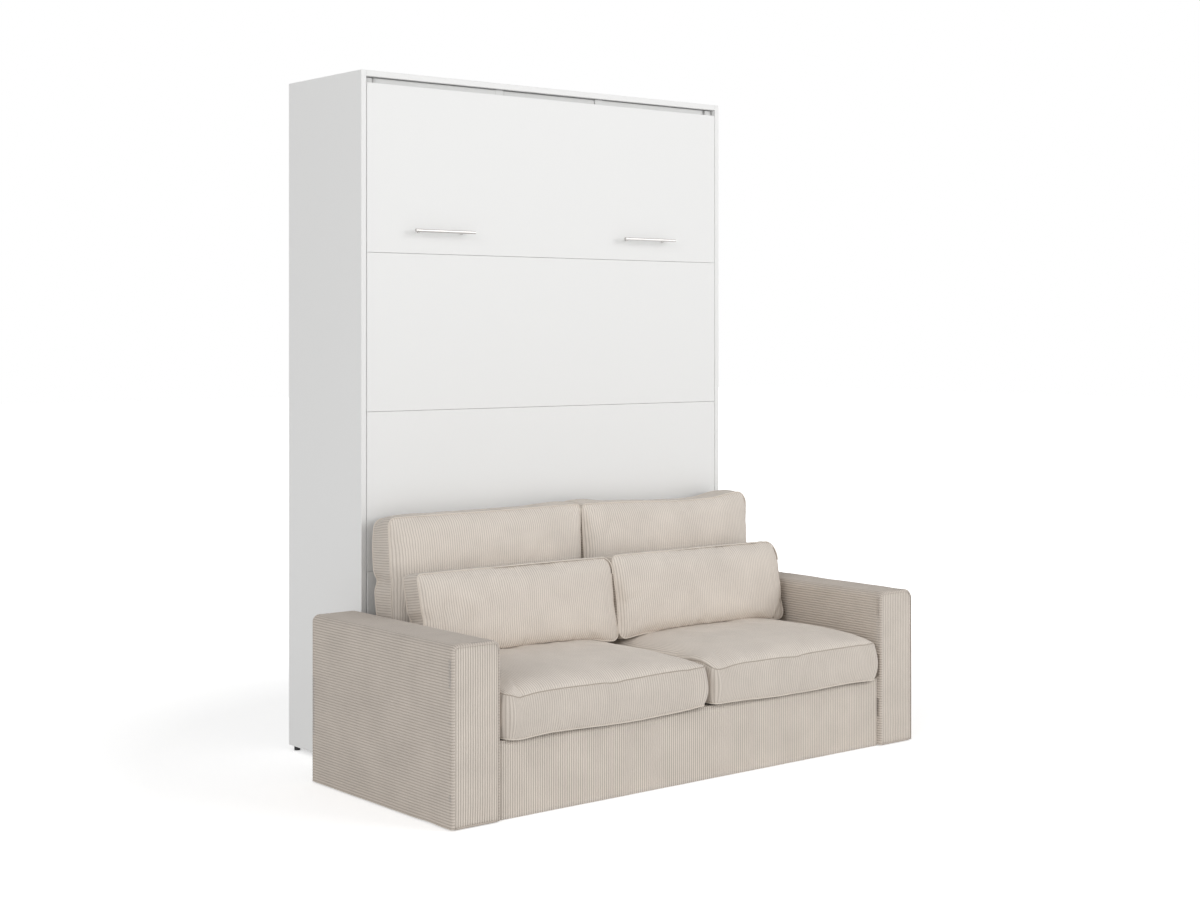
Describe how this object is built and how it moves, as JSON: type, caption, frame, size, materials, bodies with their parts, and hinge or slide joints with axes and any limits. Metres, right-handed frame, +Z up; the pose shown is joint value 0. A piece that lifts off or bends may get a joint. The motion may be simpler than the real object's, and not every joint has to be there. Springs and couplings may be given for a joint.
{
  "type": "wall bed with sofa",
  "caption": "White wall bed cabinet whose flush front folds down over a box-arm corduroy sofa with loose cushions; gas struts assist it and legs turn out at the foot.",
  "frame": {"origin": "on the floor, in the middle of the object's width and depth", "axes": "+X to the sitter's left as seen from the front, to the right in the picture; +Y towards the wall; +Z up"},
  "size_m": [1.85, 1.2146, 2.175],
  "materials": {
    "white_melamine": "satin white melamine on board",
    "corduroy": "beige corduroy",
    "grey_coated_steel": "light grey powder coat",
    "bright_steel": "ground steel",
    "satin_nickel": "satin nickel",
    "black_painted_steel": "black paint",
    "black_plastic": "moulded",
    "birch_plywood": "clear lacquered",
    "mattress_ticking": "white woven ticking",
    "grey_webbing": "woven webbing"
  },
  "bodies": {
    "cabinet_and_sofa": {"cabinet_side_left": "white_melamine", "cabinet_side_right": "white_melamine", "cabinet_top_board": "white_melamine", "cabinet_bottom_board": "white_melamine", "plinth_rail": "white_melamine", "low_back_rail": "white_melamine", "headboard_panel": "white_melamine", "top_wall_rail": "white_melamine", "glide_foot_front_left": "black_plastic", "glide_foot_rear_left": "black_plastic", "glide_foot_front_right": "black_plastic", "glide_foot_rear_right": "black_plastic", "pivot_plate_left": "grey_coated_steel", "pivot_plate_right": "grey_coated_steel", "pivot_bolt_left": "grey_coated_steel", "pivot_bolt_right": "grey_coated_steel", "strut_bracket_left": "grey_coated_steel", "strut_bracket_right": "grey_coated_steel", "sofa_arm_left": "corduroy", "sofa_arm_right": "corduroy", "sofa_front_panel": "corduroy", "sofa_seat_deck": "corduroy", "sofa_back_rail": "corduroy"},
    "bed": {"bed_front_bottom": "white_melamine", "bed_front_lower": "white_melamine", "bed_front_upper": "white_melamine", "bed_front_top": "white_melamine", "bed_rail_left": "grey_coated_steel", "bed_rail_right": "grey_coated_steel", "bed_head_rail": "grey_coated_steel", "bed_foot_rail": "grey_coated_steel", "centre_beam": "grey_coated_steel", "pivot_arm_left": "grey_coated_steel", "pivot_arm_right": "grey_coated_steel", "slat_01": "birch_plywood", "slat_02": "birch_plywood", "slat_03": "birch_plywood", "slat_04": "birch_plywood", "slat_05": "birch_plywood", "slat_06": "birch_plywood", "slat_07": "birch_plywood", "slat_08": "birch_plywood", "slat_09": "birch_plywood", "slat_10": "birch_plywood", "mattress": "mattress_ticking", "mattress_strap": "grey_webbing", "handle_left": "satin_nickel", "handle_right": "satin_nickel"},
    "turn_out_leg_left": {"turn_out_leg_left": "grey_coated_steel"},
    "turn_out_leg_right": {"turn_out_leg_right": "grey_coated_steel"},
    "strut_cylinder_left": {"strut_cylinder_left": "black_painted_steel"},
    "strut_cylinder_right": {"strut_cylinder_right": "black_painted_steel"},
    "strut_rod_left": {"strut_rod_left": "bright_steel"},
    "strut_rod_right": {"strut_rod_right": "bright_steel"},
    "back_cushion_left": {"back_cushion_left": "corduroy"},
    "back_cushion_right": {"back_cushion_right": "corduroy"},
    "lumbar_cushion_left": {"lumbar_cushion_left": "corduroy"},
    "lumbar_cushion_right": {"lumbar_cushion_right": "corduroy"},
    "seat_cushion_left": {"seat_cushion_left": "corduroy"},
    "seat_cushion_right": {"seat_cushion_right": "corduroy"}
  },
  "joints": [
    {"name": "bed_fold", "type": "hinge", "parent": "cabinet_and_sofa", "child": "bed", "pos_m": [0, 0.20234, 0.49], "axis": [1, 0, 0], "range_deg": [0, 90]},
    {"name": "strut_swing_left", "type": "hinge", "parent": "cabinet_and_sofa", "child": "strut_cylinder_left", "pos_m": [-0.716, 0.29734, 1.1], "axis": [1, 0, 0], "range_deg": [0, 13.7]},
    {"name": "strut_stroke_left", "type": "slide", "parent": "strut_cylinder_left", "child": "strut_rod_left", "axis": [0, 0.0945, 0.9955], "range_m": [0, 0.198]},
    {"name": "leg_turn_left", "type": "hinge", "parent": "bed", "child": "turn_out_leg_left", "pos_m": [-0.68, 0.20064, 2.137], "axis": [0, 0, -1], "range_deg": [0, 90]},
    {"name": "back_cushion_left_clear", "type": "slide", "parent": "cabinet_and_sofa", "child": "back_cushion_left", "axis": [0, -1, 0], "range_m": [0, 2.28]},
    {"name": "lumbar_cushion_left_clear", "type": "slide", "parent": "cabinet_and_sofa", "child": "lumbar_cushion_left", "axis": [0, -1, 0], "range_m": [0, 2.28]},
    {"name": "seat_cushion_left_pull", "type": "slide", "parent": "cabinet_and_sofa", "child": "seat_cushion_left", "axis": [0, -1, 0], "range_m": [0, 0.7]},
    {"name": "strut_swing_right", "type": "hinge", "parent": "cabinet_and_sofa", "child": "strut_cylinder_right", "pos_m": [0.716, 0.29734, 1.1], "axis": [1, 0, 0], "range_deg": [0, 13.7]},
    {"name": "strut_stroke_right", "type": "slide", "parent": "strut_cylinder_right", "child": "strut_rod_right", "axis": [0, 0.0945, 0.9955], "range_m": [0, 0.198]},
    {"name": "leg_turn_right", "type": "hinge", "parent": "bed", "child": "turn_out_leg_right", "pos_m": [0.68, 0.20064, 2.137], "axis": [0, 0, 1], "range_deg": [0, 90]},
    {"name": "back_cushion_right_clear", "type": "slide", "parent": "cabinet_and_sofa", "child": "back_cushion_right", "axis": [0, -1, 0], "range_m": [0, 2.28]},
    {"name": "lumbar_cushion_right_clear", "type": "slide", "parent": "cabinet_and_sofa", "child": "lumbar_cushion_right", "axis": [0, -1, 0], "range_m": [0, 2.28]},
    {"name": "seat_cushion_right_pull", "type": "slide", "parent": "cabinet_and_sofa", "child": "seat_cushion_right", "axis": [0, -1, 0], "range_m": [0, 0.7]}
  ],
  "couplings": [
    {"joint": "strut_swing_left", "follows": "bed_fold", "ratio": 0.15135},
    {"joint": "strut_stroke_left", "follows": "bed_fold", "m_per_rad": 0.12571},
    {"joint": "leg_turn_left", "follows": "bed_fold", "ratio": 1},
    {"joint": "back_cushion_left_clear", "follows": "bed_fold", "m_per_rad": 1.45},
    {"joint": "lumbar_cushion_left_clear", "follows": "bed_fold", "m_per_rad": 1.45},
    {"joint": "strut_swing_right", "follows": "bed_fold", "ratio": 0.15135},
    {"joint": "strut_stroke_right", "follows": "bed_fold", "m_per_rad": 0.12571},
    {"joint": "leg_turn_right", "follows": "bed_fold", "ratio": 1},
    {"joint": "back_cushion_right_clear", "follows": "bed_fold", "m_per_rad": 1.45},
    {"joint": "lumbar_cushion_right_clear", "follows": "bed_fold", "m_per_rad": 1.45}
  ]
}
